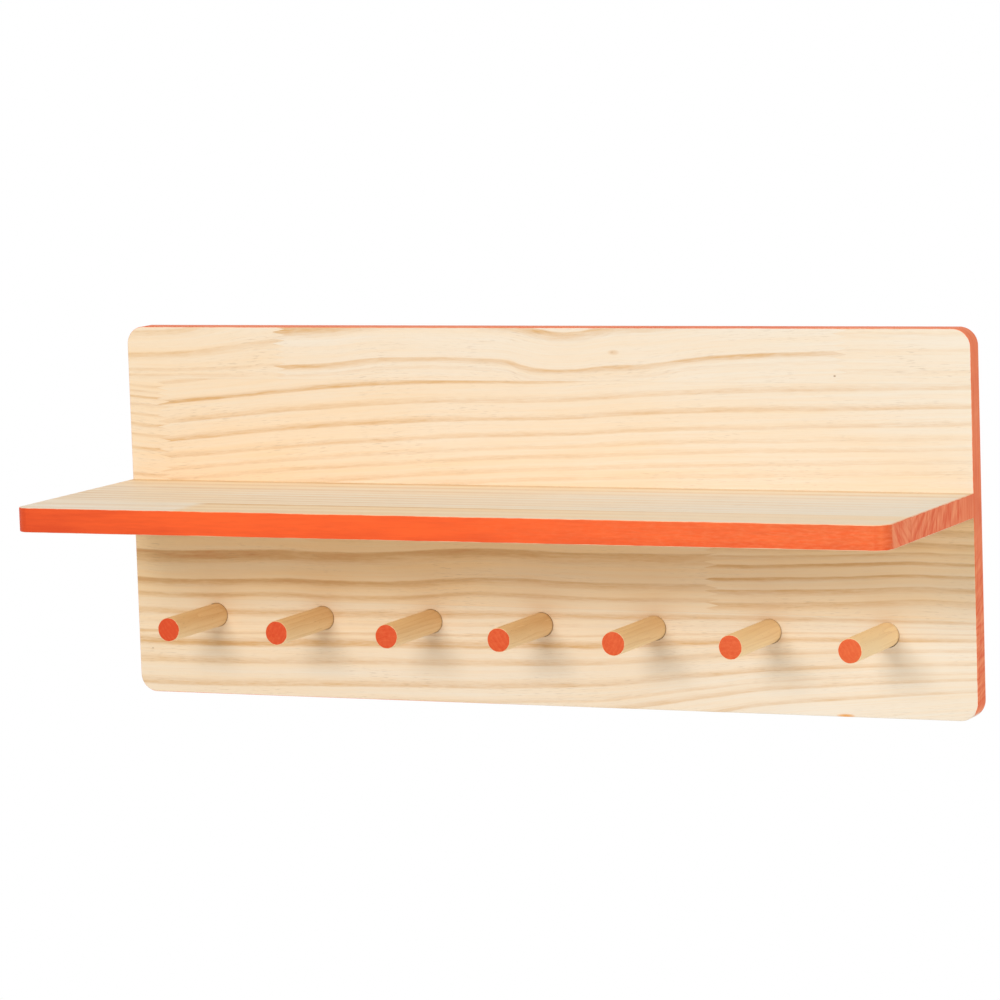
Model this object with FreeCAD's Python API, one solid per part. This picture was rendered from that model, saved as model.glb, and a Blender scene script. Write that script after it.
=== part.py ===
"""Peg rail with a shelf: a pine back board with a shelf halfway up and seven turned pegs below it.

Millimetres. The origin is the centre of the back board's rear face, which lies on the wall.
+X runs to the right as a person in front of the rail sees it, +Y into the wall, +Z up.
The board and the shelf are edge-glued pine panels, and each is one solid, as it comes from the mill.
"""
import FreeCAD, Part
import math
import os

Vector = FreeCAD.Vector

# ---------------------------------------------------------------- back board
board_width = 600.0
board_height = 250.0
board_thickness = 16.0
board_corner_radius = 12.0
arris_radius = 0.8  # the sanded edge round both faces of the back board and the shelf

# ---------------------------------------------------------------- shelf
shelf_reach = 164.0  # from the back board's front face to the shelf's front edge
shelf_thickness = 16.0
shelf_corner_radius = 10.0  # the two front corners, seen from above
shelf_drop = 104.0  # from the back board's top edge down to the shelf's upper face

# ---------------------------------------------------------------- pegs
peg_count = 7
peg_end_margin = 60.0  # from the back board's end to the first peg's axis
peg_rise = 54.0  # from the back board's bottom edge up to the pegs' axes
peg_diameter = 16.0
peg_reach = 70.0  # how far a peg stands out of the back board
peg_socket_depth = 11.0
peg_socket_clearance = 0.05  # round the peg, for the glue
peg_end_chamfer = 0.6

# ---------------------------------------------------------------- screws that hold the shelf
shelf_screw_count = 4
shelf_screw_end_margin = 45.0  # from the back board's end to the first screw's axis
shelf_screw_length = 45.0
shelf_screw_thread_diameter = 4.0
shelf_screw_core_diameter = 2.8
shelf_screw_head_diameter = 8.0
shelf_screw_thread_pitch = 1.8
shelf_screw_sink = 0.4  # how far the head lies below the board's rear face
shelf_screw_hole_clearance = 0.2  # round the plain shank, in the back board

# ---------------------------------------------------------------- dowels that line the shelf up
shelf_dowel_diameter = 8.0
shelf_dowel_length = 30.0
shelf_dowel_board_depth = 10.0  # how far a dowel goes into the back board
shelf_dowel_clearance = 0.05  # round the dowel
shelf_dowel_end_room = 0.4  # for spare glue, at each end of the dowel
shelf_dowel_flute_count = 12
shelf_dowel_flute_radius = 0.45
shelf_dowel_chamfer = 0.8

# ---------------------------------------------------------------- keyhole plates that hang the rail
hanger_end_margin = 100.0  # from the back board's end to a plate's middle
hanger_drop = 40.0  # from the back board's top edge down to a plate's middle
hanger_plate_width = 16.0
hanger_plate_height = 50.0
hanger_plate_thickness = 1.6
hanger_plate_corner_radius = 5.0
hanger_recess_clearance = 0.15  # round the plate, in the back board
keyhole_entry_diameter = 9.0  # lets a wall screw's head in
keyhole_slot_width = 4.6
keyhole_rise = 12.0  # from the entry's centre up to the centre of the slot's round end
keyhole_pocket_width = 11.0  # the pocket behind the plate, for the wall screw's head
keyhole_pocket_depth = 9.0  # from the back board's rear face

# ---------------------------------------------------------------- screws that hold the plates
plate_screw_inset = 6.0  # from the plate's end to the screw's axis
plate_screw_length = 11.0
plate_screw_thread_diameter = 3.0
plate_screw_core_diameter = 2.0
plate_screw_head_diameter = 5.4
plate_screw_thread_pitch = 1.3
plate_screw_hole_clearance = 0.1  # round the screw, in the plate

# ---------------------------------------------------------------- shapes shared by all the screws
screw_head_rim = 0.3
screw_point_length = 3.0
screw_thread_share = 0.55  # of the pitch that a thread's ridge takes up
screw_recess_width_share = 0.11  # of the head's diameter: one arm of the cross recess
screw_recess_length_share = 0.58  # of the head's diameter
screw_recess_depth_share = 0.2  # of the head's diameter
screw_pilot_room = 1.0  # the pilot hole runs this much past the point
hole_mouth = 1.0  # how far a cutting shape starts outside the face it cuts

# ---------------------------------------------------------------- places that follow from the sizes
board_front_y = -board_thickness
board_top_z = board_height / 2
board_bottom_z = -board_height / 2
shelf_front_y = board_front_y - shelf_reach
shelf_top_z = board_top_z - shelf_drop
shelf_middle_z = shelf_top_z - shelf_thickness / 2
peg_axis_z = board_bottom_z + peg_rise
hanger_middle_z = board_top_z - hanger_drop
keyhole_entry_z = hanger_middle_z - keyhole_rise / 2
keyhole_seat_z = hanger_middle_z + keyhole_rise / 2
plate_screw_offset = hanger_plate_height / 2 - plate_screw_inset


def row_places(count, end_margin):
    """The X places of a row of like pieces, spread evenly between the board's two end margins."""
    first = end_margin - board_width / 2
    pitch = (board_width - 2 * end_margin) / (count - 1)
    return [first + pitch * index for index in range(count)]


peg_places = row_places(peg_count, peg_end_margin)
shelf_screw_places = row_places(shelf_screw_count, shelf_screw_end_margin)
shelf_dowel_places = [(a + b) / 2 for a, b in zip(shelf_screw_places, shelf_screw_places[1:])]
hanger_places = dict(zip(("left", "right"), row_places(2, hanger_end_margin)))
plate_screw_places = {
    "upper": hanger_middle_z + plate_screw_offset,
    "lower": hanger_middle_z - plate_screw_offset,
}


# ---------------------------------------------------------------- building blocks
def right_angled_outline(corners):
    """A face bounded by straight runs and quarter rounds; corners is a list of (point, radius)."""
    edges = []
    starts = []
    ends = []
    middles = []
    for index, (point, radius) in enumerate(corners):
        before = (corners[index - 1][0] - point).normalize()
        after = (corners[(index + 1) % len(corners)][0] - point).normalize()
        centre = point + before * radius + after * radius
        starts.append(point + before * radius)
        ends.append(point + after * radius)
        if radius > 0:
            middles.append(centre + (point - centre).normalize() * radius)
        else:
            middles.append(None)
    for index in range(len(corners)):
        if middles[index] is not None:
            edges.append(Part.Arc(starts[index], middles[index], ends[index]).toShape())
        following = starts[(index + 1) % len(corners)]
        edges.append(Part.LineSegment(ends[index], following).toShape())
    return Part.Face(Part.Wire(edges))


def upright_slab(width, height, radius, middle_x, middle_z, back_y, thickness):
    """A slab on edge with four rounded corners, from back_y forwards by its thickness."""
    left = middle_x - width / 2
    right = middle_x + width / 2
    low = middle_z - height / 2
    high = middle_z + height / 2
    corners = [
        (Vector(left, back_y, low), radius),
        (Vector(right, back_y, low), radius),
        (Vector(right, back_y, high), radius),
        (Vector(left, back_y, high), radius),
    ]
    return right_angled_outline(corners).extrude(Vector(0, -thickness, 0))


def rod(radius, start, end):
    """A round bar from one point to another."""
    direction = end - start
    return Part.makeCylinder(radius, direction.Length, start, direction)


def turned(profile, place):
    """A solid turned about a line along Y; profile is a list of (radius, depth in front of place)."""
    points = [place + Vector(radius, -depth, 0) for radius, depth in profile]
    outline = Part.makePolygon(points + [points[0]])
    return Part.Face(outline).revolve(place, Vector(0, 1, 0), 360)


# ---------------------------------------------------------------- screws and what is cut for them
def wood_screw(place, length, thread_diameter, core_diameter, head_diameter, pitch, plain_length):
    """A countersunk screw with its head's flat at place, driven forwards; threads are drawn as rings."""
    head_radius = head_diameter / 2
    thread_radius = thread_diameter / 2
    core_radius = core_diameter / 2
    neck_depth = screw_head_rim + head_radius - thread_radius
    thread_start = max(plain_length, neck_depth + screw_head_rim)
    point_start = length - screw_point_length
    profile = [(0, 0), (head_radius, 0), (head_radius, screw_head_rim), (thread_radius, neck_depth)]
    profile.append((thread_radius, thread_start))
    profile.append((core_radius, thread_start))
    ridge = pitch * screw_thread_share
    ridge_start = thread_start + pitch - ridge
    while ridge_start + ridge < point_start:
        profile.append((core_radius, ridge_start))
        profile.append((thread_radius, ridge_start + ridge / 2))
        profile.append((core_radius, ridge_start + ridge))
        ridge_start += pitch
    profile.append((core_radius, point_start))
    profile.append((0, length))
    screw = turned(profile, place)
    arm_width = head_diameter * screw_recess_width_share
    arm_length = head_diameter * screw_recess_length_share
    arm_depth = head_diameter * screw_recess_depth_share
    for arm_x, arm_z in ((arm_length, arm_width), (arm_width, arm_length)):
        corner = place + Vector(-arm_x / 2, -arm_depth, -arm_z / 2)
        screw = screw.cut(Part.makeBox(arm_x, arm_depth + hole_mouth, arm_z, corner))
    return screw


def countersink(place, head_diameter, hole_diameter, clearance, sink, depth):
    """The space of a sunk screw head and the plain hole below it; place is on the face that it enters."""
    head_radius = head_diameter / 2
    hole_radius = hole_diameter / 2 + clearance
    mouth_radius = head_radius + clearance
    seat_depth = sink + screw_head_rim
    profile = [
        (0, -hole_mouth),
        (mouth_radius, -hole_mouth),
        (mouth_radius, seat_depth - clearance),
        (hole_radius, seat_depth + head_radius - hole_radius),
        (hole_radius, depth),
        (0, depth),
    ]
    return turned(profile, place)


# ---------------------------------------------------------------- shelf joint
def shelf_screw(x):
    """One of the screws that come through the back board into the shelf's rear edge."""
    head = Vector(x, -shelf_screw_sink, shelf_middle_z)
    return wood_screw(
        head,
        shelf_screw_length,
        shelf_screw_thread_diameter,
        shelf_screw_core_diameter,
        shelf_screw_head_diameter,
        shelf_screw_thread_pitch,
        board_thickness - shelf_screw_sink,
    )


def shelf_screw_board_hole(x):
    """The sunk clearance hole right through the back board."""
    return countersink(
        Vector(x, 0, shelf_middle_z),
        shelf_screw_head_diameter,
        shelf_screw_thread_diameter,
        shelf_screw_hole_clearance,
        shelf_screw_sink,
        board_thickness + hole_mouth,
    )


def shelf_screw_pilot_hole(x):
    """The pilot hole in the shelf's rear edge, as wide as the screw's core."""
    start = Vector(x, board_front_y + hole_mouth, shelf_middle_z)
    end = Vector(x, -shelf_screw_sink - shelf_screw_length - screw_pilot_room, shelf_middle_z)
    return rod(shelf_screw_core_diameter / 2, start, end)


def shelf_dowel(x):
    """A fluted beech dowel, half hidden in the back board and half in the shelf."""
    back = Vector(x, board_front_y + shelf_dowel_board_depth, shelf_middle_z)
    front = back + Vector(0, -shelf_dowel_length, 0)
    dowel = rod(shelf_dowel_diameter / 2, back, front)
    dowel = dowel.makeChamfer(shelf_dowel_chamfer, [edge for edge in dowel.Edges if edge.isClosed()])
    for index in range(shelf_dowel_flute_count):
        angle = 2 * math.pi * index / shelf_dowel_flute_count
        rim = Vector(math.cos(angle), 0, math.sin(angle)) * (shelf_dowel_diameter / 2)
        past_end = Vector(0, hole_mouth, 0)
        dowel = dowel.cut(rod(shelf_dowel_flute_radius, back + rim + past_end, front + rim - past_end))
    return dowel


def shelf_dowel_hole(x):
    """The two blind holes of a dowel, in the back board and in the shelf, as one cutting shape."""
    back_y = board_front_y + shelf_dowel_board_depth + shelf_dowel_end_room
    front_y = board_front_y + shelf_dowel_board_depth - shelf_dowel_length - shelf_dowel_end_room
    start = Vector(x, back_y, shelf_middle_z)
    end = Vector(x, front_y, shelf_middle_z)
    return rod(shelf_dowel_diameter / 2 + shelf_dowel_clearance, start, end)


# ---------------------------------------------------------------- pegs
def peg(x):
    """A straight round peg, glued into its blind socket, with its front rim broken."""
    back = Vector(x, board_front_y + peg_socket_depth, peg_axis_z)
    front = Vector(x, board_front_y - peg_reach, peg_axis_z)
    bar = rod(peg_diameter / 2, back, front)
    return bar.makeChamfer(peg_end_chamfer, [edge for edge in bar.Edges if edge.isClosed()])


def peg_socket(x):
    """The blind socket of a peg, drilled from the back board's front face."""
    start = Vector(x, board_front_y - hole_mouth, peg_axis_z)
    end = Vector(x, board_front_y + peg_socket_depth, peg_axis_z)
    return rod(peg_diameter / 2 + peg_socket_clearance, start, end)


# ---------------------------------------------------------------- keyhole plates
def upright_slot(x, width, start_y, depth):
    """A slot with round ends, from the keyhole's entry up to its seat, cut forwards from start_y."""
    reach = Vector(0, -depth, 0)
    low = Vector(x, start_y, keyhole_entry_z)
    high = Vector(x, start_y, keyhole_seat_z)
    middle = Part.makeBox(width, depth, keyhole_rise, low + reach + Vector(-width / 2, 0, 0))
    ends = [rod(width / 2, low, low + reach), rod(width / 2, high, high + reach)]
    return middle.fuse(ends).removeSplitter()


def plate_screw_plate_hole(x, z):
    """The sunk hole for a screw, through the keyhole plate."""
    return countersink(
        Vector(x, 0, z),
        plate_screw_head_diameter,
        plate_screw_thread_diameter,
        plate_screw_hole_clearance,
        0,
        hanger_plate_thickness + hole_mouth,
    )


def plate_screw_pilot_hole(x, z):
    """The pilot hole for a screw, in the floor of the plate's recess."""
    end = Vector(x, -plate_screw_length - screw_pilot_room, z)
    return rod(plate_screw_core_diameter / 2, Vector(x, 0, z), end)


def plate_screw(x, z):
    """One of the two small screws of a keyhole plate."""
    return wood_screw(
        Vector(x, 0, z),
        plate_screw_length,
        plate_screw_thread_diameter,
        plate_screw_core_diameter,
        plate_screw_head_diameter,
        plate_screw_thread_pitch,
        hanger_plate_thickness,
    )


def hanger_plate(x):
    """A steel plate with a keyhole: a round entry for a screw's head and a narrow slot above it."""
    plate = upright_slab(
        hanger_plate_width,
        hanger_plate_height,
        hanger_plate_corner_radius,
        x,
        hanger_middle_z,
        0,
        hanger_plate_thickness,
    )
    cut_depth = hanger_plate_thickness + 2 * hole_mouth
    cuts = [upright_slot(x, keyhole_slot_width, hole_mouth, cut_depth)]
    entry = Vector(x, hole_mouth, keyhole_entry_z)
    cuts.append(rod(keyhole_entry_diameter / 2, entry, entry + Vector(0, -cut_depth, 0)))
    for z in plate_screw_places.values():
        cuts.append(plate_screw_plate_hole(x, z))
    return plate.cut(cuts)


def hanger_recess(x):
    """The shallow recess that takes a plate flush, with the deeper pocket behind its keyhole."""
    recess = upright_slab(
        hanger_plate_width + 2 * hanger_recess_clearance,
        hanger_plate_height + 2 * hanger_recess_clearance,
        hanger_plate_corner_radius + hanger_recess_clearance,
        x,
        hanger_middle_z,
        hole_mouth,
        hanger_plate_thickness + hole_mouth,
    )
    pocket = upright_slot(x, keyhole_pocket_width, hole_mouth, keyhole_pocket_depth + hole_mouth)
    return recess.fuse(pocket)


# ---------------------------------------------------------------- the two boards
def edges_on(shape, plane_ys=(), plane_zs=(), skip_y=None):
    """The edges that lie in one of the given planes, without those that lie in the plane skip_y."""
    near = 1e-6
    chosen = []
    for edge in shape.Edges:
        box = edge.BoundBox
        flat_y = box.YLength < near and any(abs(box.YMin - y) < near for y in plane_ys)
        flat_z = box.ZLength < near and any(abs(box.ZMin - z) < near for z in plane_zs)
        skipped = skip_y is not None and box.YLength < near and abs(box.YMin - skip_y) < near
        if (flat_y or flat_z) and not skipped:
            chosen.append(edge)
    return chosen


def back_board():
    """The upright board that carries the shelf, the pegs and the keyhole plates."""
    board = upright_slab(
        board_width, board_height, board_corner_radius, 0, 0, 0, board_thickness
    )
    rims = edges_on(board, plane_ys=(0, board_front_y))
    board = board.makeFillet(arris_radius, rims)
    cuts = [peg_socket(x) for x in peg_places]
    cuts += [shelf_screw_board_hole(x) for x in shelf_screw_places]
    cuts += [shelf_dowel_hole(x) for x in shelf_dowel_places]
    for x in hanger_places.values():
        cuts.append(hanger_recess(x))
        cuts += [plate_screw_pilot_hole(x, z) for z in plate_screw_places.values()]
    return board.cut(cuts)


def shelf_board():
    """The shelf, as long as the back board and butted square against its front face."""
    left = -board_width / 2
    right = board_width / 2
    corners = [
        (Vector(left, board_front_y, shelf_top_z), 0),
        (Vector(left, shelf_front_y, shelf_top_z), shelf_corner_radius),
        (Vector(right, shelf_front_y, shelf_top_z), shelf_corner_radius),
        (Vector(right, board_front_y, shelf_top_z), 0),
    ]
    shelf = right_angled_outline(corners).extrude(Vector(0, 0, -shelf_thickness))
    faces = (shelf_top_z, shelf_top_z - shelf_thickness)
    shelf = shelf.makeFillet(arris_radius, edges_on(shelf, plane_zs=faces, skip_y=board_front_y))
    cuts = [shelf_screw_pilot_hole(x) for x in shelf_screw_places]
    cuts += [shelf_dowel_hole(x) for x in shelf_dowel_places]
    return shelf.cut(cuts)


# ---------------------------------------------------------------- all the pieces
def pieces():
    """Every piece of the rail by name."""
    made = {"back_board": back_board(), "shelf_board": shelf_board()}
    for number, x in enumerate(peg_places, start=1):
        made[f"peg_{number}"] = peg(x)
    for number, x in enumerate(shelf_screw_places, start=1):
        made[f"shelf_screw_{number}"] = shelf_screw(x)
    for number, x in enumerate(shelf_dowel_places, start=1):
        made[f"shelf_dowel_{number}"] = shelf_dowel(x)
    for side, x in hanger_places.items():
        made[f"hanger_plate_{side}"] = hanger_plate(x)
        for level, z in plate_screw_places.items():
            made[f"hanger_screw_{side}_{level}"] = plate_screw(x, z)
    return made


os.makedirs("parts", exist_ok=True)
for name, shape in pieces().items():
    shape.exportStep(os.path.join("parts", f"{name}.step"))
    print(f"{name}: {len(shape.Solids)} solid, {shape.Volume:.0f} mm3, valid {shape.isValid()}")
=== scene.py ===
import math
from dataclasses import dataclass

import bmesh
import bpy
from mathutils import Matrix, Vector


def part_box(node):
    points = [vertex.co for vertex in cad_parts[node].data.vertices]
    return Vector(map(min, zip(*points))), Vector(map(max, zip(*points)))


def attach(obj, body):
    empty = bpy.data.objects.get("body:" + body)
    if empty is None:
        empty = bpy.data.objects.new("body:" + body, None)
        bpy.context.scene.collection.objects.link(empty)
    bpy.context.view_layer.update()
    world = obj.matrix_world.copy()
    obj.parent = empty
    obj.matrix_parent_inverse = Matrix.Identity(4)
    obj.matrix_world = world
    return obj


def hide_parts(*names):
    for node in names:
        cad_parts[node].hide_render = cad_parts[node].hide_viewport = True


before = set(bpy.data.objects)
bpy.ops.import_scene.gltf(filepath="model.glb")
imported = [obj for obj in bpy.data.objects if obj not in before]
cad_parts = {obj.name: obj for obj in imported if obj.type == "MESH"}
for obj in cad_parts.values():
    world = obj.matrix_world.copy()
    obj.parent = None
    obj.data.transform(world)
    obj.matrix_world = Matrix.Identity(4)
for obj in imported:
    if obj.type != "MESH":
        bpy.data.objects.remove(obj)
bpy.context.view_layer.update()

mm = 0.001  # the frame and the studio are in metres; the pieces' sizes and patterns in millimetres


# ------------------------------------------------------------------ studio
# The rail hangs in a white studio. A soft lamp in front, above it and a little to the left, draws the
# shadows. Two larger ones, to the right and overhead, open them, and a pale floor lies well below.
class Signal:
    """A number that changes over a surface. A sum on it adds a Math node to its node tree."""

    def __init__(self, nodes, socket):
        self.nodes = nodes
        self.socket = socket

    def __add__(self, other):
        return self.nodes.maths("ADD", self, other)

    def __sub__(self, other):
        return self.nodes.maths("SUBTRACT", self, other)

    def __rsub__(self, other):
        return self.nodes.maths("SUBTRACT", other, self)

    def __mul__(self, other):
        return self.nodes.maths("MULTIPLY", self, other)

    def __truediv__(self, other):
        return self.nodes.maths("DIVIDE", self, other)

    def __pow__(self, other):
        return self.nodes.maths("POWER", self, other)

    def __abs__(self):
        return self.nodes.maths("ABSOLUTE", self)

    __radd__ = __add__
    __rmul__ = __mul__


class Nodes:
    """The node tree of a material or of the world."""

    def __init__(self, owner):
        owner.use_nodes = True
        self.owner = owner
        self.tree = owner.node_tree

    def node(self, kind, settings=None, sockets=None):
        """Add a node: its settings first, then the values or links of its sockets."""
        made = self.tree.nodes.new("ShaderNode" + kind)
        for setting, value in (settings or {}).items():
            if setting == "stops":
                made.color_ramp.interpolation = "EASE"
                ramp = made.color_ramp.elements
                for position, colour in value[2:]:
                    ramp.new(position)
                for stop, (position, colour) in zip(ramp, value):
                    stop.position = position
                    stop.color = colour
            elif setting == "points":
                curve = made.mapping.curves[0].points
                for along, height in value[2:]:
                    curve.new(along, height)
                for point, place in zip(curve, value):
                    point.location = place
                made.mapping.update()
            else:
                setattr(made, setting, value)
        for socket, value in (sockets or {}).items():
            self.feed(made.inputs[socket], value)
        return made

    def feed(self, socket, value):
        """Link a signal or a socket to an input, or set the input's own value."""
        if isinstance(value, Signal):
            value = value.socket
        if isinstance(value, bpy.types.NodeSocket):
            self.tree.links.new(value, socket)
        else:
            socket.default_value = value

    def maths(self, operation, first, second=0.0, third=0.0, clamp=False):
        settings = {"operation": operation, "use_clamp": clamp}
        made = self.node("Math", settings, {0: first, 1: second, 2: third})
        return Signal(self, made.outputs[0])


sky = Nodes(bpy.data.worlds.new("white_studio"))
bpy.context.scene.world = sky.owner
fill_light = 0.48  # what the white surroundings give a surface that sees nothing else
rays = sky.node("LightPath").outputs
through = sky.maths("MAXIMUM", rays["Is Glossy Ray"], rays["Is Transmission Ray"])
seen = sky.maths("MAXIMUM", through, rays["Is Camera Ray"])
background = sky.tree.nodes["Background"].inputs
background["Color"].default_value = (1.0, 1.0, 1.0, 1.0)
sky.feed(background["Strength"], seen * (1 - fill_light) + fill_light)


def softbox(name, place, width, height, light):
    """A flat lamp aimed at the rail; light is how bright a white face turned to it becomes."""
    lamp = bpy.data.objects.new(name, bpy.data.lights.new(name, "AREA"))
    place = Vector(place)
    lamp.data.shape = "RECTANGLE"
    lamp.data.size = width
    lamp.data.size_y = height
    lamp.data.energy = light * math.pi**2 * place.length_squared
    lamp.location = place
    lamp.rotation_euler = (-place).to_track_quat("-Z", "Y").to_euler()
    bpy.context.scene.collection.objects.link(lamp)


softbox("key_softbox", (-0.19, -2.40, 0.86), 1.10, 0.52, 0.385)
softbox("side_softbox", (3.20, -1.35, 1.27), 1.80, 1.80, 0.22)
softbox("top_softbox", (-0.30, -0.70, 2.00), 1.60, 1.60, 0.15)

camera_place = Vector((1.2425, -2.8554, 0.3726))
camera_turn = math.radians(24.087)  # to the left of straight on
camera_tip = math.radians(-6.629)  # below level
camera_roll = math.radians(-1.902)
camera = bpy.data.objects.new("camera", bpy.data.cameras.new("camera"))
camera.data.sensor_width = 36.0
camera.data.lens = 171.28
turned_left = Matrix.Rotation(camera_turn, 4, "Z")
tipped_down = Matrix.Rotation(math.pi / 2 + camera_tip, 4, "X")
rolled = Matrix.Rotation(camera_roll, 4, "Z")
camera.matrix_world = Matrix.Translation(camera_place) @ turned_left @ tipped_down @ rolled
bpy.context.scene.collection.objects.link(camera)
bpy.context.scene.camera = camera
bpy.context.scene.view_settings.view_transform = "Standard"

floor_height = -1.5
floor_radius = 4.0
floor_mesh = bmesh.new()
bmesh.ops.create_circle(floor_mesh, cap_ends=True, segments=96, radius=floor_radius)
bmesh.ops.translate(floor_mesh, vec=(0, 0, floor_height), verts=floor_mesh.verts)
floor = bpy.data.objects.new("floor", bpy.data.meshes.new("floor"))
floor_mesh.to_mesh(floor.data)
floor_mesh.free()
bpy.context.scene.collection.objects.link(floor)
paper = Nodes(bpy.data.materials.new("pale_floor"))
paper_shader = paper.tree.nodes["Principled BSDF"].inputs
paper_shader["Base Color"].default_value = (0.86, 0.86, 0.86, 1.0)
paper_shader["Roughness"].default_value = 0.9
paper_shader["Emission Color"].default_value = (1.0, 1.0, 1.0, 1.0)
paper_shader["Emission Strength"].default_value = 0.25
floor.data.materials.append(paper.owner)


# ------------------------------------------------------------------ back board
# An edge-glued pine panel, 16 mm thick, with clear matt lacquer on its faces and a thin coat of
# orange paint on its edges. Its staves are finger-jointed from shorter lengths of pine. The pegs'
# sockets are drilled from the front; the back is let in for the keyhole plates and the screws.
def display(red, green, blue):
    """A colour given as it looks on a screen, from 0 to 255, as scene-linear values."""
    shares = [part / 255 for part in (red, green, blue)]
    linear = [share / 12.92 if share <= 0.04045 else ((share + 0.055) / 1.055) ** 2.4 for share in shares]
    return (*linear, 1.0)


class Finish(Nodes):
    """The material of a piece, with its patterns laid out in millimetres."""

    def __init__(self, name, roughness, gloss=0.5):
        super().__init__(bpy.data.materials.new(name))
        self.shader = self.tree.nodes["Principled BSDF"].inputs
        self.shader["Roughness"].default_value = roughness
        self.shader["Specular IOR Level"].default_value = gloss
        self.surface = self.node("TexCoord").outputs
        parts = self.node("SeparateXYZ", {}, {0: self.surface["Object"]}).outputs
        self.x, self.y, self.z = (Signal(self, part) / mm for part in parts)

    def noise(self, x_size, y_size, z_size, detail=2.0, roughness=0.5, shift=0.0):
        """Cloudy noise, mostly from -1 to 1, with patches about so long along each axis."""
        scale = [1 / (size * mm) for size in (x_size, y_size, z_size)]
        sockets = {0: self.surface["Object"], 1: scale, 2: (shift, shift, shift)}
        vector = self.node("VectorMath", {"operation": "MULTIPLY_ADD"}, sockets).outputs[0]
        sockets = {"Vector": vector, "Scale": 1.0, "Detail": detail, "Roughness": roughness}
        return Signal(self, self.node("TexNoise", {}, sockets).outputs[0]) * 4 - 2

    def blend(self, share, first, second):
        """Mix two colours."""
        mixer = self.node("Mix", {"data_type": "RGBA"})
        for name, value in (("Factor", share), ("A", first), ("B", second)):
            socket = next(socket for socket in mixer.inputs if socket.enabled and socket.name == name)
            self.feed(socket, value)
        return next(socket for socket in mixer.outputs if socket.enabled)

    def step(self, value, edge, softness):
        """0 where the value is below the edge and 1 above it, with a soft band between."""
        return self.maths("ADD", (value - edge) / softness, 0.5, clamp=True)

    def relief(self, height, depth):
        """Let a signal from 0 to 1 raise the surface by so many millimetres."""
        bump = self.node("Bump", {}, {"Distance": depth * mm, "Height": height, "Strength": 1.0})
        self.feed(self.shader["Normal"], bump.outputs[0])


@dataclass
class Length:
    """One length of pine in a stave."""

    start: float  # the finger joint at its left end
    sweep: list  # the (x, rise) points that its growth lines follow, along the stave's lower edge
    lines: list  # (height where the sweep is zero, darkness, fade above it, fade below it)
    tone: tuple = (0.0, 0.0)  # at the lower and upper edges: warmer above zero, paler below
    upper_sweep: list = None  # the same along the stave's upper edge, where that differs
    fading: float = 0.0  # the share of its darkness that a line loses from end to end of the panel


@dataclass
class Stave:
    """A strip of a panel, between two glue lines."""

    low: float
    high: float
    lengths: list
    lean: float  # how far its growth lines climb for each millimetre behind the face


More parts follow.
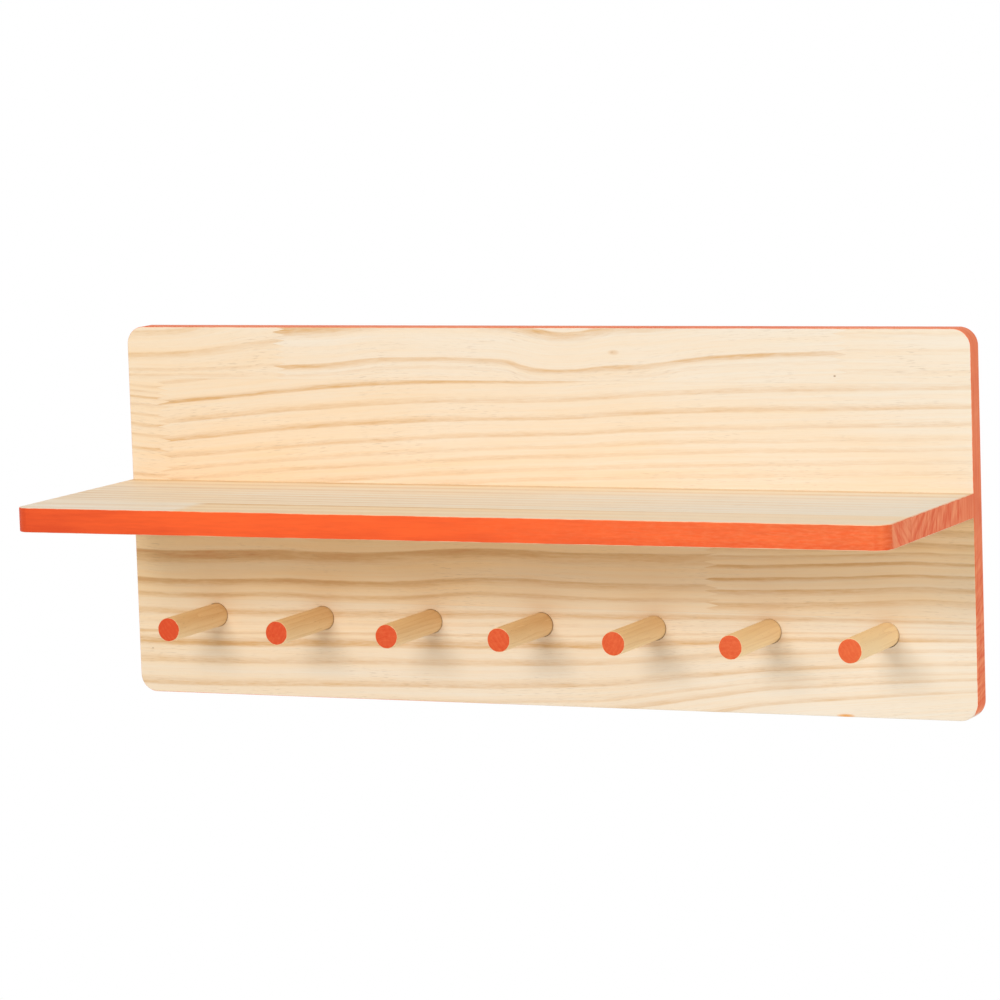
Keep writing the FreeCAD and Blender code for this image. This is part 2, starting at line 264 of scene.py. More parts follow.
class Pine(Finish):
    """Lacquered pine in glued staves, with painted edges."""

    finger_length = 9.5
    finger_pitch = 3.8
    finger_blur = 0.4  # how softly one length turns into the next across a finger joint
    glue_blur = 0.3  # the same for two staves across their glue line
    seam_width = 0.4  # how far a joint's thin dark line reaches to either side
    half_span = 300.0  # of a panel along x
    largest_rise = 70.0  # the most that growth lines climb or fall
    plain_below = 12.0  # wood without late wood below a length's lowest line
    pale = display(242, 230, 211)
    warm = display(247, 212, 162)
    late_wood = display(221, 178, 124)
    dense_wood = display(206, 142, 86)
    pore = display(158, 122, 84)
    paint_side = display(247, 95, 34)
    paint_thick = display(218, 73, 24)
    paint_thin = display(233, 119, 64)
    paint_end = display(238, 98, 42)
    # pale streaks on the painted ends: partly paint drunk into open grain and partly painted sheen, the white
    # that the ends reflect at a grazing view
    paint_end_pale_and_sheen = display(253, 150, 98)
    paint_end_late = display(222, 80, 30)
    paint_reach = 0.32  # how far the paint comes over an arris

    def swept(self, sweep):
        """How far growth lines have risen at each x."""
        span = 2 * self.half_span
        points = [((x + self.half_span) / span, 0.5 + rise / (2 * self.largest_rise)) for x, rise in sweep]
        sockets = {"Factor": 1.0, "Value": (self.x + self.half_span) / span}
        curve = self.node("FloatCurve", {"points": points}, sockets).outputs[0]
        return (Signal(self, curve) - 0.5) * (2 * self.largest_rise)

    def growth_lines(self, length, rings):
        """How much of the surface is late wood."""
        lines = sorted(length.lines)
        marks = [(lines[0][0] - self.plain_below, 0.0)]
        for number, (line, darkness, above, below) in enumerate(lines):
            if number + 1 < len(lines):
                above = min(above, lines[number + 1][0] - line - 1)
            marks += [(max(line - below, marks[-1][0]), 0.0), (line, darkness), (line + above, 0.0)]
        bottom = marks[0][0]
        reach = marks[-1][0] + 1 - bottom
        stops = [((mark - bottom) / reach, (value, value, value, 1.0)) for mark, value in marks]
        sampled = self.node("ValToRGB", {"stops": stops}, {0: (rings - bottom) / reach})
        return Signal(self, sampled.outputs[0]) * (1 - (self.x / self.half_span + 1) * (length.fading / 2))

    def pass_over(self, share, first, second):
        """Go from the first list of signals to the second."""
        return [one + (other - one) * share for one, other in zip(first, second)]

    def panel(self, staves, across, depth):
        """Lay out a panel: its late wood, its tone, its joints, and the rings that its fibres follow."""
        self.depth = depth
        wobble = self.noise(70, 30, 14) * 0.5 + self.noise(14, 10, 3, shift=7.0) * 0.16
        half_pitch = self.finger_pitch / 2
        finger = self.maths("PINGPONG", across, half_pitch) / half_pitch * self.finger_length
        panel = None
        for stave in staves:
            share = (across - stave.low) / (stave.high - stave.low)
            strip = None
            for length in stave.lengths:
                rise = self.swept(length.sweep)
                if length.upper_sweep:
                    rise = rise + (self.swept(length.upper_sweep) - rise) * share
                rings = across - rise - depth * stave.lean + wobble
                tone = share * (length.tone[1] - length.tone[0]) + length.tone[0]
                found = [self.growth_lines(length, rings), tone, 0.0, rings]
                if strip is None:
                    strip = found
                    continue
                along = self.x - finger - length.start
                strip = self.pass_over(self.step(along, 0.0, self.finger_blur), strip, found)
                strip[2] = self.maths("SUBTRACT", 1.0, abs(along) / self.seam_width, clamp=True) + strip[2]
            if panel is None:
                panel = strip
                continue
            panel = self.pass_over(self.step(across, stave.low, self.glue_blur), panel, strip)
            off_line = abs(across - stave.low) / self.seam_width
            panel[2] = self.maths("SUBTRACT", 1.0, off_line, clamp=True) + panel[2]
        self.late, self.tone, self.seam, self.rings = panel
        uneven = self.noise(110, 60, 5, shift=31.0) * 0.4 + self.noise(26, 20, 3, shift=33.0) * 0.25
        self.late = self.late * (uneven + 1)

    def fibres(self, length, width, detail=2.0, roughness=0.5, shift=0.0):
        """Streaks that follow the growth lines, about so long and so wide."""
        sockets = {0: self.x / length, 1: self.rings / width, 2: self.depth / 14 + shift}
        vector = self.node("CombineXYZ", {}, sockets).outputs[0]
        sockets = {"Vector": vector, "Scale": 1.0, "Detail": detail, "Roughness": roughness}
        return Signal(self, self.node("TexNoise", {}, sockets).outputs[0]) * 4 - 2

    def timber(self, streak_width):
        """The bare wood's colour."""
        self.fibre = self.fibres(45, 1.4, 3.0, 0.6) * 0.5 + self.fibres(15, 0.9, shift=3.0) * 0.5
        band = self.fibres(260, 8, shift=13.0) * 0.1 + self.fibres(110, streak_width, shift=17.0) * 0.14
        cloud = self.noise(120, 60, 40, shift=11.0) * 0.1 - self.x * (0.17 / self.half_span)
        warmth = self.maths("ADD", self.tone * 0.3 + band + cloud, 0.3, clamp=True)
        wood = self.blend(warmth, self.pale, self.warm)
        fine = self.fibres(7, 0.8, 1.0, shift=25.0)
        late = self.late * (self.fibre * 0.2 + fine * 0.15 + 1) + self.fibre * 0.13
        wood = self.blend(self.maths("ADD", late, fine * 0.04, clamp=True), wood, self.late_wood)
        wood = self.blend(self.maths("SUBTRACT", late, 1.0, clamp=True), wood, self.dense_wood)
        dashes = self.step(self.fibres(8, 0.7, 1.0, shift=21.0), 0.6, 0.6)
        dashes = dashes * self.step(self.noise(60, 30, 14, shift=23.0), 0.15, 0.6)
        marks = self.maths("ADD", dashes * 0.22, self.seam * 0.06, clamp=True)
        return self.blend(marks, wood, self.pore)

    def speck(self, colour, wood, across, places):
        """Add small oval marks, such as pin knots, at (x, height, length, width, darkness)."""
        for x, height, length, width, darkness in places:
            off = ((self.x - x) / (length / 2)) ** 2 + ((across - height) / (width / 2)) ** 2
            wood = self.blend(self.maths("SUBTRACT", 1.0, off, clamp=True) * darkness, wood, colour)
        return wood

    def inside(self, over_x, over_side, radius):
        """How far a point lies inside a panel's rounded outline, seen square to its faces."""
        out_x = self.maths("MAXIMUM", over_x, 0.0)
        out_side = self.maths("MAXIMUM", over_side, 0.0)
        corner = self.maths("SQRT", out_x**2 + out_side**2)
        straight = self.maths("MINIMUM", self.maths("MAXIMUM", over_x, over_side), 0.0)
        return radius - corner - straight

    def soaked_paint(self, streak_width, open_grain):
        """The colour of paint on end grain, which drinks it in streaks where the grain is open. Its pale
        streaks are partly a painted sheen.
        """
        streaks = self.fibres(400, streak_width, 2.0, shift=47.0) * open_grain
        brushed = self.noise(60, 2.2, 45, 3.0, 0.6, shift=46.0) * 0.6
        colour = self.blend(self.step(streaks + brushed, 0.0, 1.3), self.paint_end, self.paint_end_pale_and_sheen)
        dark = (self.late * 0.6 + self.fibres(400, 1.6, shift=49.0) * 0.16) * open_grain
        dark = self.maths("ADD", dark, self.noise(40, 30, 30, shift=45.0) * 0.3, clamp=True)
        return self.blend(dark, colour, self.paint_end_late)

    def coat(self, wood, paint, inside):
        """Paint the wood from its edges to just over their arrises."""
        edge = self.paint_reach + self.noise(9, 3, 3, 3.0, 0.6, shift=53.0) * 0.12
        cover = self.step(edge - inside, 0.0, 0.22)
        self.feed(self.shader["Base Color"], self.blend(cover, wood, paint))


same_point = 0.001 * mm  # corners nearer to each other than this are one


def slab(mesh, low, high, thin_axis, radius, rounded=lambda corner: True, segments=14):
    """Add a slab between two opposite corners, with rounded corners where asked."""
    before = set(mesh.faces)
    wide = [axis for axis in range(3) if axis != thin_axis]
    outline = []
    for ends in ((0, 0), (1, 0), (1, 1), (0, 1)):
        corner = Vector(low)
        for axis, end in zip(wide, ends):
            corner[axis] = (low, high)[end][axis]
        outline.append(mesh.verts.new(corner))
    mesh.faces.new(outline)
    sizes = {"offset": radius, "segments": segments, "profile": 0.5, "material": -1}
    chosen = [corner for corner in outline if rounded(corner.co)]
    bmesh.ops.bevel(mesh, geom=chosen, affect="VERTICES", **sizes)
    sheet = [face for face in mesh.faces if face not in before]
    grown = bmesh.ops.extrude_face_region(mesh, geom=sheet, use_keep_orig=True)["geom"]
    grown_corners = [part for part in grown if isinstance(part, bmesh.types.BMVert)]
    away = Vector((0, 0, 0))
    away[thin_axis] = high[thin_axis] - low[thin_axis]
    bmesh.ops.translate(mesh, vec=away, verts=grown_corners)
    bmesh.ops.remove_doubles(mesh, verts=mesh.verts, dist=same_point)
    bmesh.ops.recalc_face_normals(mesh, faces=mesh.faces)


def ease(mesh, thin_axis, radius, chosen=lambda middle: True):
    """Round the rims of a slab's two faces."""
    rims = []
    for edge in mesh.edges:
        first, second = (end.co for end in edge.verts)
        if abs(first[thin_axis] - second[thin_axis]) < same_point and chosen((first + second) / 2):
            rims.append(edge)
    sizes = {"offset": radius, "segments": 4, "profile": 0.5, "material": -1}
    bmesh.ops.bevel(mesh, geom=rims, affect="EDGES", **sizes)


def turned(mesh, place, profile, steps=48):
    """Add a shape turned about a line along Y, from (radius, depth in front of the place) points."""
    points = [mesh.verts.new(place + Vector((radius, -depth, 0)) * mm) for radius, depth in profile]
    outline = [mesh.edges.new(pair) for pair in zip(points, points[1:])]
    full_turn = {"axis": (0, 1, 0), "angle": 2 * math.pi, "steps": steps, "use_merge": True}
    bmesh.ops.spin(mesh, geom=points + outline, cent=place, **full_turn)
    bmesh.ops.remove_doubles(mesh, verts=mesh.verts, dist=same_point)
    bmesh.ops.recalc_face_normals(mesh, faces=mesh.faces)


def piece_from(mesh, name):
    """Make an object of a finished bmesh."""
    piece = bpy.data.objects.new(name, bpy.data.meshes.new(name))
    mesh.to_mesh(piece.data)
    mesh.free()
    bpy.context.scene.collection.objects.link(piece)
    return piece


def cut_away(piece, cutters):
    """Cut the cutters' space out of a piece."""
    tool = piece_from(cutters, "cutters")
    cut = piece.modifiers.new("cut", "BOOLEAN")
    cut.operation = "DIFFERENCE"
    cut.solver = "EXACT"
    cut.use_self = True
    cut.object = tool
    shown = piece.evaluated_get(bpy.context.evaluated_depsgraph_get())
    carved = bpy.data.meshes.new_from_object(shown)
    piece.modifiers.clear()
    piece.data = carved
    bpy.data.objects.remove(tool)


def finish_piece(piece, node, material, sharp_angle=35):
    """Shade a piece smoothly between its sharp edges, and put it in its node's place."""
    piece.data.polygons.foreach_set("use_smooth", [True] * len(piece.data.polygons))
    piece.data.set_sharp_from_angle(angle=math.radians(sharp_angle))
    piece.modifiers.new("flat_faces", "WEIGHTED_NORMAL").keep_sharp = True
    piece.data.materials.clear()
    piece.data.materials.append(material.owner)
    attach(piece, "root")
    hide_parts(node)


arris_radius = 0.8
board_corner = 12.0
board_low, board_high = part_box("back_board")
board_mesh = bmesh.new()
slab(board_mesh, board_low, board_high, 1, board_corner * mm)
ease(board_mesh, 1, arris_radius * mm)
back_board = piece_from(board_mesh, "pine_back_board")

hole_mouth = 1.0  # how far a cutting shape starts outside the face that it cuts
socket_room = 0.26  # round a peg
socket_slips = [  # how far each socket was drilled off its peg's axis, along x and z
    (0.14, 0.10), (0.18, 0.02), (0.14, 0.04), (0.22, -0.02), (0.14, -0.12), (0.18, -0.06), (0.14, -0.20),
]
cutters = bmesh.new()
for number, (slip_x, slip_z) in enumerate(socket_slips, start=1):
    low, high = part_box(f"peg_{number}")
    radius = (high.x - low.x) / 2 / mm + socket_room
    depth = (high.y - board_low.y) / mm
    mouth = Vector(((low.x + high.x) / 2 + slip_x * mm, board_low.y, (low.z + high.z) / 2 + slip_z * mm))
    profile = [(0, hole_mouth), (radius, hole_mouth), (radius, -depth), (0, -depth)]
    turned(cutters, mouth, profile, 64)

shelf_screw_numbers = range(1, 5)
screw_room = 0.2  # round the plain shank
screw_shank_radius = 2.0
screw_head_rim = 0.3
for number in shelf_screw_numbers:
    low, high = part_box(f"shelf_screw_{number}")
    head_radius = (high.x - low.x) / 2 / mm
    shank_radius = screw_shank_radius + screw_room
    seat = -high.y / mm + screw_head_rim - screw_room
    rim = head_radius + screw_room
    neck = seat + rim - shank_radius
    through = (board_high.y - board_low.y) / mm + hole_mouth
    profile = [
        (0, -hole_mouth),
        (rim, -hole_mouth),
        (rim, seat),
        (shank_radius, neck),
        (shank_radius, through),
        (0, through),
    ]
    turned(cutters, Vector(((low.x + high.x) / 2, 0, (low.z + high.z) / 2)), profile)

shelf_dowel_numbers = range(1, 4)
dowel_room = 0.05  # round a dowel
glue_room = 0.4  # past each end of a dowel
for number in shelf_dowel_numbers:
    low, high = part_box(f"shelf_dowel_{number}")
    radius = (high.x - low.x) / 2 / mm + dowel_room
    depth = (high.y - board_low.y) / mm + glue_room
    mouth = Vector(((low.x + high.x) / 2, board_low.y, (low.z + high.z) / 2))
    profile = [(0, hole_mouth), (radius, hole_mouth), (radius, -depth), (0, -depth)]
    turned(cutters, mouth, profile, 24)

recess_room = 0.15  # round a keyhole plate
plate_corner = 5.0
pocket_width = 11.0  # the pocket behind a plate takes the wall screw's head
pocket_depth = 9.0
pocket_height = 23.0
just_short = 0.999  # keeps a pocket's rounded corners from meeting
pilot_radius = 1.0
pilot_depth = 12.0
for side in ("left", "right"):
    low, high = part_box(f"hanger_plate_{side}")
    room = Vector((recess_room, 0, recess_room)) * mm
    past_face = Vector((0, hole_mouth, 0)) * mm
    slab(cutters, low - room, high + room + past_face, 1, (plate_corner + recess_room) * mm, segments=8)
    middle = (low + high) / 2
    half_pocket = Vector((pocket_width / 2, 0, pocket_height / 2)) * mm
    pocket_low = Vector((middle.x, -pocket_depth * mm, middle.z)) - half_pocket
    pocket_high = Vector((middle.x, hole_mouth * mm, middle.z)) + half_pocket
    slab(cutters, pocket_low, pocket_high, 1, pocket_width / 2 * mm * just_short, segments=12)
    for level in ("upper", "lower"):
        low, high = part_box(f"hanger_screw_{side}_{level}")
        place = Vector(((low.x + high.x) / 2, 0, (low.z + high.z) / 2))
        profile = [(0, 0), (pilot_radius, 0), (pilot_radius, pilot_depth), (0, pilot_depth)]
        turned(cutters, place, profile, 16)
cut_away(back_board, cutters)

board_staves = [
    Stave(
        low=-125.0,
        high=-60.0,
        lean=0.55,
        lengths=[
            Length(
                start=-300.0,
                sweep=[
                    (-300, 0), (-240, 0), (-200, 1.4), (-120, 3.6), (-40, 5.4), (0, 7.5), (40, 9.8),
                    (60, 12.5), (80, 16.5), (100, 21), (120, 25.5), (150, 34), (200, 43.5), (240, 51.5),
                    (300, 63),
                ],
                upper_sweep=[(-300, -1.7), (-200, -1.5), (-120, -0.2), (0, 2.2), (120, 3.2), (300, 4)],
                lines=[
                    (-152, 0.65, 6, 1.2), (-137.5, 0.65, 6, 1.2), (-129.5, 0.35, 4, 1.2),
                    (-118.5, 0.6, 6, 1.8), (-102.5, 0.5, 6, 2), (-89.5, 1.0, 6, 3),
                    (-82, 0.5, 2, 3), (-75, 0.2, 3, 2), (-67.5, 0.75, 4, 4),
                ],
                tone=(-0.3, 0.6),
                fading=0.35,
            ),
        ],
    ),
    # The stave under the shelf is warmer than its neighbours and has darker growth lines. This is partly its
    # own wood and partly painted shade: the warm shade that the shelf casts on it.
    Stave(
        low=-60.0,
        high=17.0,
        lean=0.55,
        lengths=[
            Length(
                start=-300.0,
                sweep=[
                    (-300, 0), (-280, -0.8), (-240, -0.2), (-190, 1.4), (-160, 0.6), (-120, 0.8), (-100, 1.6),
                    (-60, 4.6), (-40, 5.4), (-10, 5), (20, 4), (60, 4), (130, 5), (300, 5),
                ],
                lines=[
                    (-57, 0.8, 2.5, 3), (-46.7, 1.2, 1.4, 6), (-27.3, 1.5, 1.4, 11), (-15, 0.5, 1.2, 6),
                    (-5, 0.5, 1.2, 4), (6, 0.5, 1.2, 4),
                ],
                tone=(1.2, 2.8),
                fading=0.75,
            ),
            Length(
                start=116.0,
                sweep=[(-300, 0), (123, 0), (180, 1.5), (220, 3), (260, 5), (280, 4.7), (300, 4.5)],
                lines=[
                    (-53.5, 0.6, 1.2, 6), (-45, 0.75, 1, 5), (-37.2, 1.1, 1, 3), (-29, 1.05, 1, 3),
                    (-23, 0.6, 1, 4), (-17, 0.75, 1.2, 5), (-8, 0.85, 1.2, 6), (1, 0.75, 1.5, 6),
                    (9, 0.65, 2, 6),
                ],
                tone=(1.3, 3.0),
                fading=0.1,
            ),
        ],
    ),
    Stave(
        low=17.0,
        high=90.0,
        lean=0.35,
        lengths=[
            Length(
                start=-300.0,
                sweep=[(-300, 0), (-275, -2), (300, -2)],
                lines=[
                    (26, 0.6, 1.2, 3), (43.5, 0.6, 1.2, 3), (53, 0.35, 1.2, 3), (60, 0.6, 1.2, 3.5),
                    (66.5, 0.45, 1.2, 2), (73, 0.35, 1.2, 2), (78, 0.7, 1.2, 2), (82, 0.5, 1.2, 2),
                    (86, 0.4, 1.2, 2),
                ],
                tone=(0.3, 0.3),
            ),
            Length(
                start=-279.0,
                sweep=[
                    (-300, -2), (-275, 0), (-240, 2.7), (-200, 6.2), (-150, 9.8), (-100, 13), (-50, 16.8),
                    (0, 19.8), (50, 21.5), (100, 23), (200, 25.5), (300, 28),
                ],
                upper_sweep=[
                    (-300, -2), (-275, 0), (-240, 3.4), (-200, 7.4), (-150, 12.2), (-100, 15.4), (-50, 16.3),
                    (0, 16.5), (25, 17), (50, 19.5), (100, 22.5), (200, 25.2), (300, 27.5),
                ],
                lines=[
                    (5, 0.35, 4, 1.2), (12, 0.4, 4, 1.2), (20.5, 0.42, 4, 1.2), (27.3, 0.35, 4, 1.2),
                    (36, 0.5, 4, 1.2), (47.3, 0.75, 4.5, 1.2), (59.6, 0.5, 5, 1.2), (72.5, 0.95, 3.5, 1.4),
                    (86.5, 0.4, 3, 1.2),
                ],
                # warmer towards its lower edge by the shelf: partly its own tone and partly painted light,
                # the warm light that the shelf bounces onto it
                tone=(0.45, -0.1),
                fading=0.45,
            ),
        ],
    ),
    Stave(
        low=90.0,
        high=125.0,
        lean=-0.4,
        lengths=[
            Length(
                start=-300.0,
                sweep=[(-300, 0), (300, 0)],
                upper_sweep=[(-300, 0), (-260, 1.8), (-240, 5), (-185, 12.5), (300, 12.5)],
                lines=[(92.5, 0.3, 1.2, 3), (96.2, 0.4, 1.2, 3), (107, 0.55, 1.2, 5.5), (122, 0.4, 1.2, 6)],
                tone=(0.0, -0.3),
                fading=3.0,
            ),
            Length(
                start=-190.0,
                sweep=[
                    (-300, 0), (-185, 0), (-150, 1.5), (-105, 5.5), (-40, 5.5), (-20, 4.5), (-8, 0.5),
                    (5, -1.5), (25, -1.5), (50, 0), (72, 0.5), (90, 2.5), (110, 5.5), (145, 8.5), (210, 11.5),
                    (300, 12),
                ],
                upper_sweep=[
                    (-300, 0), (-185, 0), (-150, 1.5), (-105, 5.5), (-14, 3), (4, -0.8), (18, -2.8),
                    (30, -2.6), (44, -0.2), (58, 2.5), (86, 3.5), (110, 6), (145, 8.5), (300, 12),
                ],
                lines=[(93, 0.2, 1.2, 3), (98.8, 0.75, 1.2, 9), (124, 0.85, 1.5, 8)],
                tone=(-0.4, -0.7),
                fading=0.3,
            ),
            Length(
                start=208.0,
                sweep=[(-300, 0), (300, 0)],
                lines=[(98.5, 0.12, 1.2, 4), (111.3, 0.14, 1.2, 3), (122, 0.1, 1.2, 4)],
                tone=(-0.05, -0.05),
            ),
        ],
    ),
]
pin_knots = [(209, 94.5, 2.2, 1.6, 0.8), (56, 109, 2.5, 1.6, 0.3), (-290, -95, 2, 1.4, 0.5)]
board_pine = Pine("back_board_pine_and_paint", 0.55, 0.25)
board_pine.panel(board_staves, board_pine.z, board_pine.y - board_low.y / mm)
wood = board_pine.timber(2.4)
wood = board_pine.speck(Pine.pore, wood, board_pine.z, pin_knots)
knot_halo = (57, 109, 9, 4, 0.45)
wood = board_pine.speck(Pine.late_wood, wood, board_pine.z, [knot_halo])
resin = display(236, 166, 88)
resin_streak = (211, -124.2, 14, 3, 1.0)
wood = board_pine.speck(resin, wood, board_pine.z, [resin_streak])
board_inside = board_pine.inside(
    abs(board_pine.x) - (board_high.x / mm - board_corner),
    abs(board_pine.z) - (board_high.z / mm - board_corner),
    board_corner,
)
# Along the right half of the lower edge the brush left less paint on the arris.
wiped = board_pine.step(board_pine.x, -20, 160) * board_pine.step(0 - board_pine.z, 120, 4) * 0.4
open_grain = board_pine.step(0 - board_pine.z, 30, 60) * 0.7 + 0.1
board_pine.coat(wood, board_pine.soaked_paint(4.0, open_grain), board_inside + wiped)
board_pine.relief(board_pine.late * 0.4 + board_pine.fibre * 0.25, 0.05)
finish_piece(back_board, "back_board", board_pine)


# ------------------------------------------------------------------ shelf
# A second pine panel, butted against the back board's face. Its two front corners are rounded, its
# upper and lower arrises are sanded, and its front edge and ends are painted like the board's.
shelf_corner = 10.0
shelf_low, shelf_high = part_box("shelf_board")
shelf_mesh = bmesh.new()
shelf_middle = (shelf_low + shelf_high) / 2
slab(shelf_mesh, shelf_low, shelf_high, 2, shelf_corner * mm, lambda corner: corner.y < shelf_middle.y)
ease(shelf_mesh, 2, arris_radius * mm, lambda middle: middle.y < shelf_high.y - same_point)
shelf = piece_from(shelf_mesh, "pine_shelf")

cutters = bmesh.new()
for number in shelf_dowel_numbers:
    low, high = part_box(f"shelf_dowel_{number}")
    radius = (high.x - low.x) / 2 / mm + dowel_room
    depth = (shelf_high.y - low.y) / mm + glue_room
    mouth = Vector(((low.x + high.x) / 2, shelf_high.y, (low.z + high.z) / 2))
    turned(cutters, mouth, [(0, -hole_mouth), (radius, -hole_mouth), (radius, depth), (0, depth)], 24)
screw_core_radius = 1.4
pilot_room = 1.0  # past a screw's point
for number in shelf_screw_numbers:
    low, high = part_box(f"shelf_screw_{number}")
    radius = screw_core_radius
    depth = (shelf_high.y - low.y) / mm + pilot_room
    mouth = Vector(((low.x + high.x) / 2, shelf_high.y, (low.z + high.z) / 2))
    turned(cutters, mouth, [(0, -hole_mouth), (radius, -hole_mouth), (radius, depth), (0, depth)], 16)
cut_away(shelf, cutters)

shelf_staves = [
    Stave(
        low=-180.0,
        high=-137.0,
        lean=1.1,
        lengths=[
            Length(
                start=-300.0,
                sweep=[(-300, 0), (300, 0)],
                lines=[(-189, 0.25, 4, 9), (-171, 0.2, 4, 9), (-152, 0.25, 4, 10)],
                tone=(-1.0, -0.7),
            ),
            Length(
                start=-188.0,
                sweep=[(-300, 0), (-188, 0), (0, 2), (300, 2)],
                lines=[(-193, 0.3, 4, 8), (-171, 0.4, 8, 16), (-155, 0.6, 7, 8), (-139, 1.5, 3, 9)],
                tone=(0.9, 1.3),
                fading=1.0,
            ),
        ],
    ),
    Stave(
        low=-137.0,
        high=-91.0,
        lean=-1.0,
        lengths=[
            Length(
                start=-300.0,
                sweep=[(-300, 1), (0, 0), (300, 0)],
                lines=[(-129, 0.4, 3, 4), (-119, 0.6, 3, 6), (-107, 0.45, 4, 8), (-93, 0.5, 4, 12)],
                tone=(-0.3, -0.2),
                fading=0.8,
            ),
        ],
    ),
    Stave(
        low=-91.0,
        high=-45.0,
        lean=-0.4,
        lengths=[
            Length(
                start=-300.0,
                sweep=[(-300, -1), (0, 0), (300, 0)],
                lines=[(-82, 0.55, 3, 6), (-70, 0.4, 3, 5), (-57, 0.55, 5, 10)],
                tone=(-0.6, 0.0),
                fading=0.7,
            ),
        ],
    ),
    Stave(
        low=-45.0,
        high=-16.0,
        lean=0.1,
        lengths=[
            Length(
                start=-300.0,
                sweep=[(-300, 0), (300, 0)],
                lines=[(-38, 0.35, 4, 8), (-20, 0.75, 4, 9)],
                tone=(0.2, 0.8),
            ),
        ],
    ),
]
shelf_pine = Pine("shelf_pine_and_paint", 0.55, 0.25)
shelf_pine.panel(shelf_staves, shelf_pine.y, shelf_high.z / mm - shelf_pine.z)
wood = shelf_pine.timber(11.0)
shelf_inside = shelf_pine.inside(
    abs(shelf_pine.x) - (shelf_high.x / mm - shelf_corner),
    shelf_low.y / mm + shelf_corner - shelf_pine.y,
    shelf_corner,
)
# Painted highlight colour: the arris wood is tinted peach. This is partly paint that has crept into it and
# partly the peach of the highlight that the arrises catch.
paint_stain_and_highlight_tint = display(252, 178, 118)  # wood that the paint has crept into
stain_and_highlight_share = shelf_pine.step(0.9 - shelf_inside, 0.0, 0.5) * 0.55
wood = shelf_pine.blend(stain_and_highlight_share, wood, paint_stain_and_highlight_tint)
half_thick = (shelf_high.z - shelf_low.z) / 2 / mm
over_rim = abs(shelf_pine.z - (shelf_high.z + shelf_low.z) / 2 / mm) - half_thick
worn = shelf_pine.noise(30, 6, 6, 3.0, 0.6) * 0.22 + shelf_pine.x * (0.14 / shelf_pine.half_span) + 0.32
worn_inside = shelf_pine.maths("MAXIMUM", shelf_inside, over_rim + worn + shelf_pine.paint_reach)
left_end = 1 - shelf_pine.step(shelf_pine.x, -235, 150)
right_half = shelf_pine.step(shelf_pine.x, 150, 300)
lower_rim = shelf_pine.step(shelf_low.z / mm + 4 - shelf_pine.z, 0.0, 4.0)
facing = shelf_pine.node("SeparateXYZ", {}, {0: shelf_pine.surface["Normal"]}).outputs
turning = abs(Signal(shelf_pine, facing[0]))  # 0 on the front edge, 1 on the ends
# corner: the paint is drawn thicker, and so darker, in bands round the shelf's rounded front corners. This is
# painted shade: the darker band that the corners take as they turn from the light.
corner = shelf_pine.step(turning, 0.12, 0.08) * 0.15 - shelf_pine.step(turning, 0.4, 0.1) * 0.15
corner = corner + shelf_pine.step(turning, 0.62, 0.12) * 0.15
streak = shelf_pine.noise(9, 8, 1.2, 3.0, 0.6, shift=41.0)
cloud = shelf_pine.noise(42, 30, 7, 3.0, 0.6, shift=43.0)
mottled = (streak * 0.35 + cloud * 0.15) * (right_half * 0.8 + 0.2)
thin = shelf_pine.maths("ADD", right_half * 0.55, mottled, clamp=True)
pooled = cloud * 0.25 + shelf_pine.noise(26, 20, 1.8, 3.0, 0.6, shift=42.0) * 0.22
thick = shelf_pine.maths("ADD", left_end * 0.75 + corner + lower_rim * 0.22, pooled + 0.15, clamp=True)
brushed = shelf_pine.blend(thin, Pine.paint_side, Pine.paint_thin)
brushed = shelf_pine.blend(thick, brushed, Pine.paint_thick)
rubbed_paint = display(249, 142, 92)
rubbed = shelf_pine.step(shelf_pine.noise(6, 6, 1.3, 3.0, 0.6, shift=44.0), 0.35, 1.2)
brushed = shelf_pine.blend(rubbed * right_half * 0.45, brushed, rubbed_paint)
open_grain = (1 - shelf_pine.step(shelf_pine.y, -42, 4)) * 0.85 + 0.15
ends = shelf_pine.soaked_paint(6.0, open_grain)
on_ends = shelf_pine.step(turning, 0.985, 0.02)
shelf_pine.coat(wood, shelf_pine.blend(on_ends, brushed, ends), worn_inside)
shelf_pine.relief(shelf_pine.late * 0.4 + shelf_pine.fibre * 0.25, 0.05)
finish_piece(shelf, "shelf_board", shelf_pine)


# ------------------------------------------------------------------ pegs
# Seven lengths of 16 mm dowel, glued into blind sockets. Their sides are lacquered, their rims are
# lightly broken, and a dab of the orange paint covers each front end.
peg_chamfer = 0.6
peg_shoulder = 0.18  # the front rim is rounded through this point of its chamfer
dab_radius = 7.68
dab_reach = 0.35  # how far the dab comes over the rim
ring_spacing = 2.7
peg_pale = display(250, 219, 167)
peg_late = display(213, 162, 100)
peg_pore = display(140, 92, 48)
dab_deep = display(218, 74, 28)
dab_bright = display(232, 108, 56)
peg_wood = Finish("peg_wood_and_paint", 0.5, 0.3)
pegs = []
for number in range(1, 8):
    low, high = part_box(f"peg_{number}")
    axis = Vector(((low.x + high.x) / 2, high.y, (low.z + high.z) / 2))
    radius = (high.x - low.x) / 2 / mm
    length = (high.y - low.y) / mm
    profile = [
        (0, 0),
        (radius - peg_chamfer, 0),
        (radius, peg_chamfer),
        (radius, length - peg_chamfer),
        (radius - peg_shoulder, length - peg_shoulder),
        (radius - peg_chamfer, length),
        (0, length),
    ]
    peg_mesh = bmesh.new()
    turned(peg_mesh, axis, profile, 64)
    pegs.append(piece_from(peg_mesh, f"peg_dowel_{number}"))
    finish_piece(pegs[-1], f"peg_{number}", peg_wood, 30)

peg_pitch = (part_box("peg_2")[0].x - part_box("peg_1")[0].x) / mm
peg_axis_z = (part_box("peg_1")[0].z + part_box("peg_1")[1].z) / 2 / mm
peg_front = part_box("peg_1")[0].y / mm
across = peg_wood.maths("WRAP", peg_wood.x, peg_pitch / 2, -peg_pitch / 2)
upward = peg_wood.z - peg_axis_z
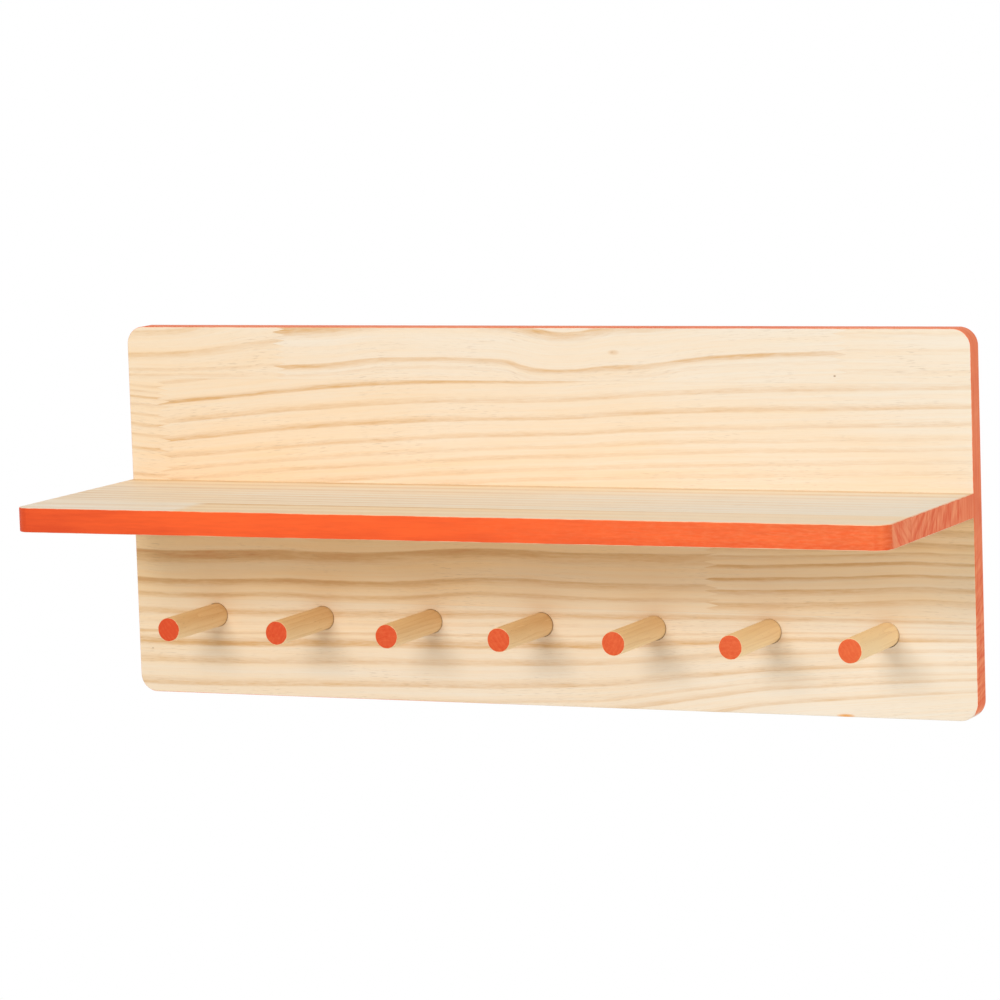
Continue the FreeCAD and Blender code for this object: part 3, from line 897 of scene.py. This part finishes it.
# Each peg shows its rings at an angle of its own. The pegs to the right are painted a little paler: painted
# light, from the lamp on their right.
which = peg_wood.maths("ROUND", peg_wood.x / peg_pitch)
angle = which * 2.1 + 0.6
along_rings = across * peg_wood.maths("COSINE", angle) + upward * peg_wood.maths("SINE", angle)
ring_wobble = peg_wood.noise(6, 60, 6) * 0.35
ring = peg_wood.maths("FRACT", along_rings / ring_spacing + ring_wobble + 20)
late = ring**3
fibre = peg_wood.noise(0.8, 28, 0.8, 3.0, 0.6) * 0.5 + peg_wood.noise(3.5, 60, 3.5, shift=5.0) * 0.5
paler = peg_wood.maths("MAXIMUM", which, 0.0) * 0.13
# Painted shade: each peg's side is painted darker towards the board, where the shelf above shades it. The
# painted light of the pegs to the right is taken off here too.
painted_shade_and_light = (peg_wood.y - peg_front) * 0.0038 - paler
share = peg_wood.maths("ADD", late * 0.22 + fibre * 0.16 + painted_shade_and_light, 0.19, clamp=True)
side = peg_wood.blend(share, peg_pale, peg_late)
pores = peg_wood.step(peg_wood.noise(0.45, 5, 0.45, 1.0, shift=9.0), 0.95, 0.4)
side = peg_wood.blend(pores * 0.3, side, peg_pore)
from_axis = peg_wood.maths("SQRT", across**2 + upward**2)
brushed = peg_wood.noise(2.2, 4, 2.2, 3.0, 0.6, shift=15.0)
thinner = peg_wood.maths("ADD", late * 0.3 + brushed * 0.3 + which * 0.12, 0.3, clamp=True)
paint = peg_wood.blend(thinner, dab_deep, dab_bright)
ragged = peg_wood.noise(3, 3, 3, 3.0, 0.65, shift=17.0) * 0.16
on_end = peg_wood.step(peg_front + dab_reach - peg_wood.y, 0.0, 0.15)
dab = peg_wood.step(dab_radius + ragged - from_axis, 0.0, 0.18) * on_end
peg_wood.feed(peg_wood.shader["Base Color"], peg_wood.blend(dab, side, paint))
peg_wood.relief(fibre * 0.5 + brushed * 0.5, 0.05)


# ------------------------------------------------------------------ shelf dowels
# Three fluted beech dowels line the shelf up with the back board. The glue joint hides them.
beech_pale = display(228, 196, 156)
beech_dark = display(206, 166, 122)
beech_fleck = display(168, 118, 78)
dowel_beech = Finish("fluted_beech", 0.6)
fleck = dowel_beech.step(dowel_beech.noise(0.4, 2.2, 1.2, 1.0), 0.7, 0.4)
streak = dowel_beech.noise(0.7, 14, 0.7, 3.0, 0.6)
beech = dowel_beech.blend(streak * 0.3 + 0.5, beech_pale, beech_dark)
beech = dowel_beech.blend(fleck * 0.45, beech, beech_fleck)
dowel_beech.feed(dowel_beech.shader["Base Color"], beech)
dowel_beech.relief(streak * 0.5, 0.04)
for number in shelf_dowel_numbers:
    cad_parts[f"shelf_dowel_{number}"].material_slots[0].material = dowel_beech.owner


# ------------------------------------------------------------------ screws
# Four countersunk wood screws pull the shelf to the board, and four short ones hold the keyhole
# plates. All are yellow zinc plated, with a thin uneven film of colour over bright steel.
film_gold = display(232, 206, 132)
film_rose = display(214, 190, 150)
film_dull = display(176, 150, 104)
yellow_zinc = Finish("yellow_zinc", 0.3)
yellow_zinc.shader["Metallic"].default_value = 1.0
film = yellow_zinc.noise(3, 3, 3, 3.0, 0.6)
thicker = yellow_zinc.maths("ADD", film * 0.4, 0.5, clamp=True)
plated = yellow_zinc.blend(thicker, film_gold, film_rose)
spots = yellow_zinc.step(yellow_zinc.noise(1.2, 1.2, 1.2, shift=4.0), 0.8, 0.5)
plated = yellow_zinc.blend(spots * 0.4, plated, film_dull)
yellow_zinc.feed(yellow_zinc.shader["Base Color"], plated)
yellow_zinc.feed(yellow_zinc.shader["Roughness"], film * 0.06 + 0.32)
screws = [f"shelf_screw_{number}" for number in shelf_screw_numbers]
screws += [f"hanger_screw_{side}_{level}" for side in ("left", "right") for level in ("upper", "lower")]
for name in screws:
    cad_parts[name].material_slots[0].material = yellow_zinc.owner


# ------------------------------------------------------------------ keyhole plates
# Two pressed steel plates with a keyhole each, let in flush with the back. Bright zinc plate, with
# fine brushing along their length and a few rubbed spots.
steel_pale = display(214, 216, 220)
steel_dark = display(184, 188, 194)
bright_zinc = Finish("bright_zinc", 0.34)
bright_zinc.shader["Metallic"].default_value = 1.0
brushing = bright_zinc.noise(0.12, 0.12, 9, 2.0, 0.6)
spangle = bright_zinc.noise(4, 4, 4, 2.0, shift=6.0)
darker = bright_zinc.maths("ADD", brushing * 0.2 + spangle * 0.25, 0.5, clamp=True)
steel = bright_zinc.blend(darker, steel_pale, steel_dark)
bright_zinc.feed(bright_zinc.shader["Base Color"], steel)
bright_zinc.feed(bright_zinc.shader["Roughness"], brushing * 0.05 + spangle * 0.04 + 0.34)
bright_zinc.relief(brushing * 0.5, 0.01)
for side in ("left", "right"):
    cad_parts[f"hanger_plate_{side}"].material_slots[0].material = bright_zinc.owner
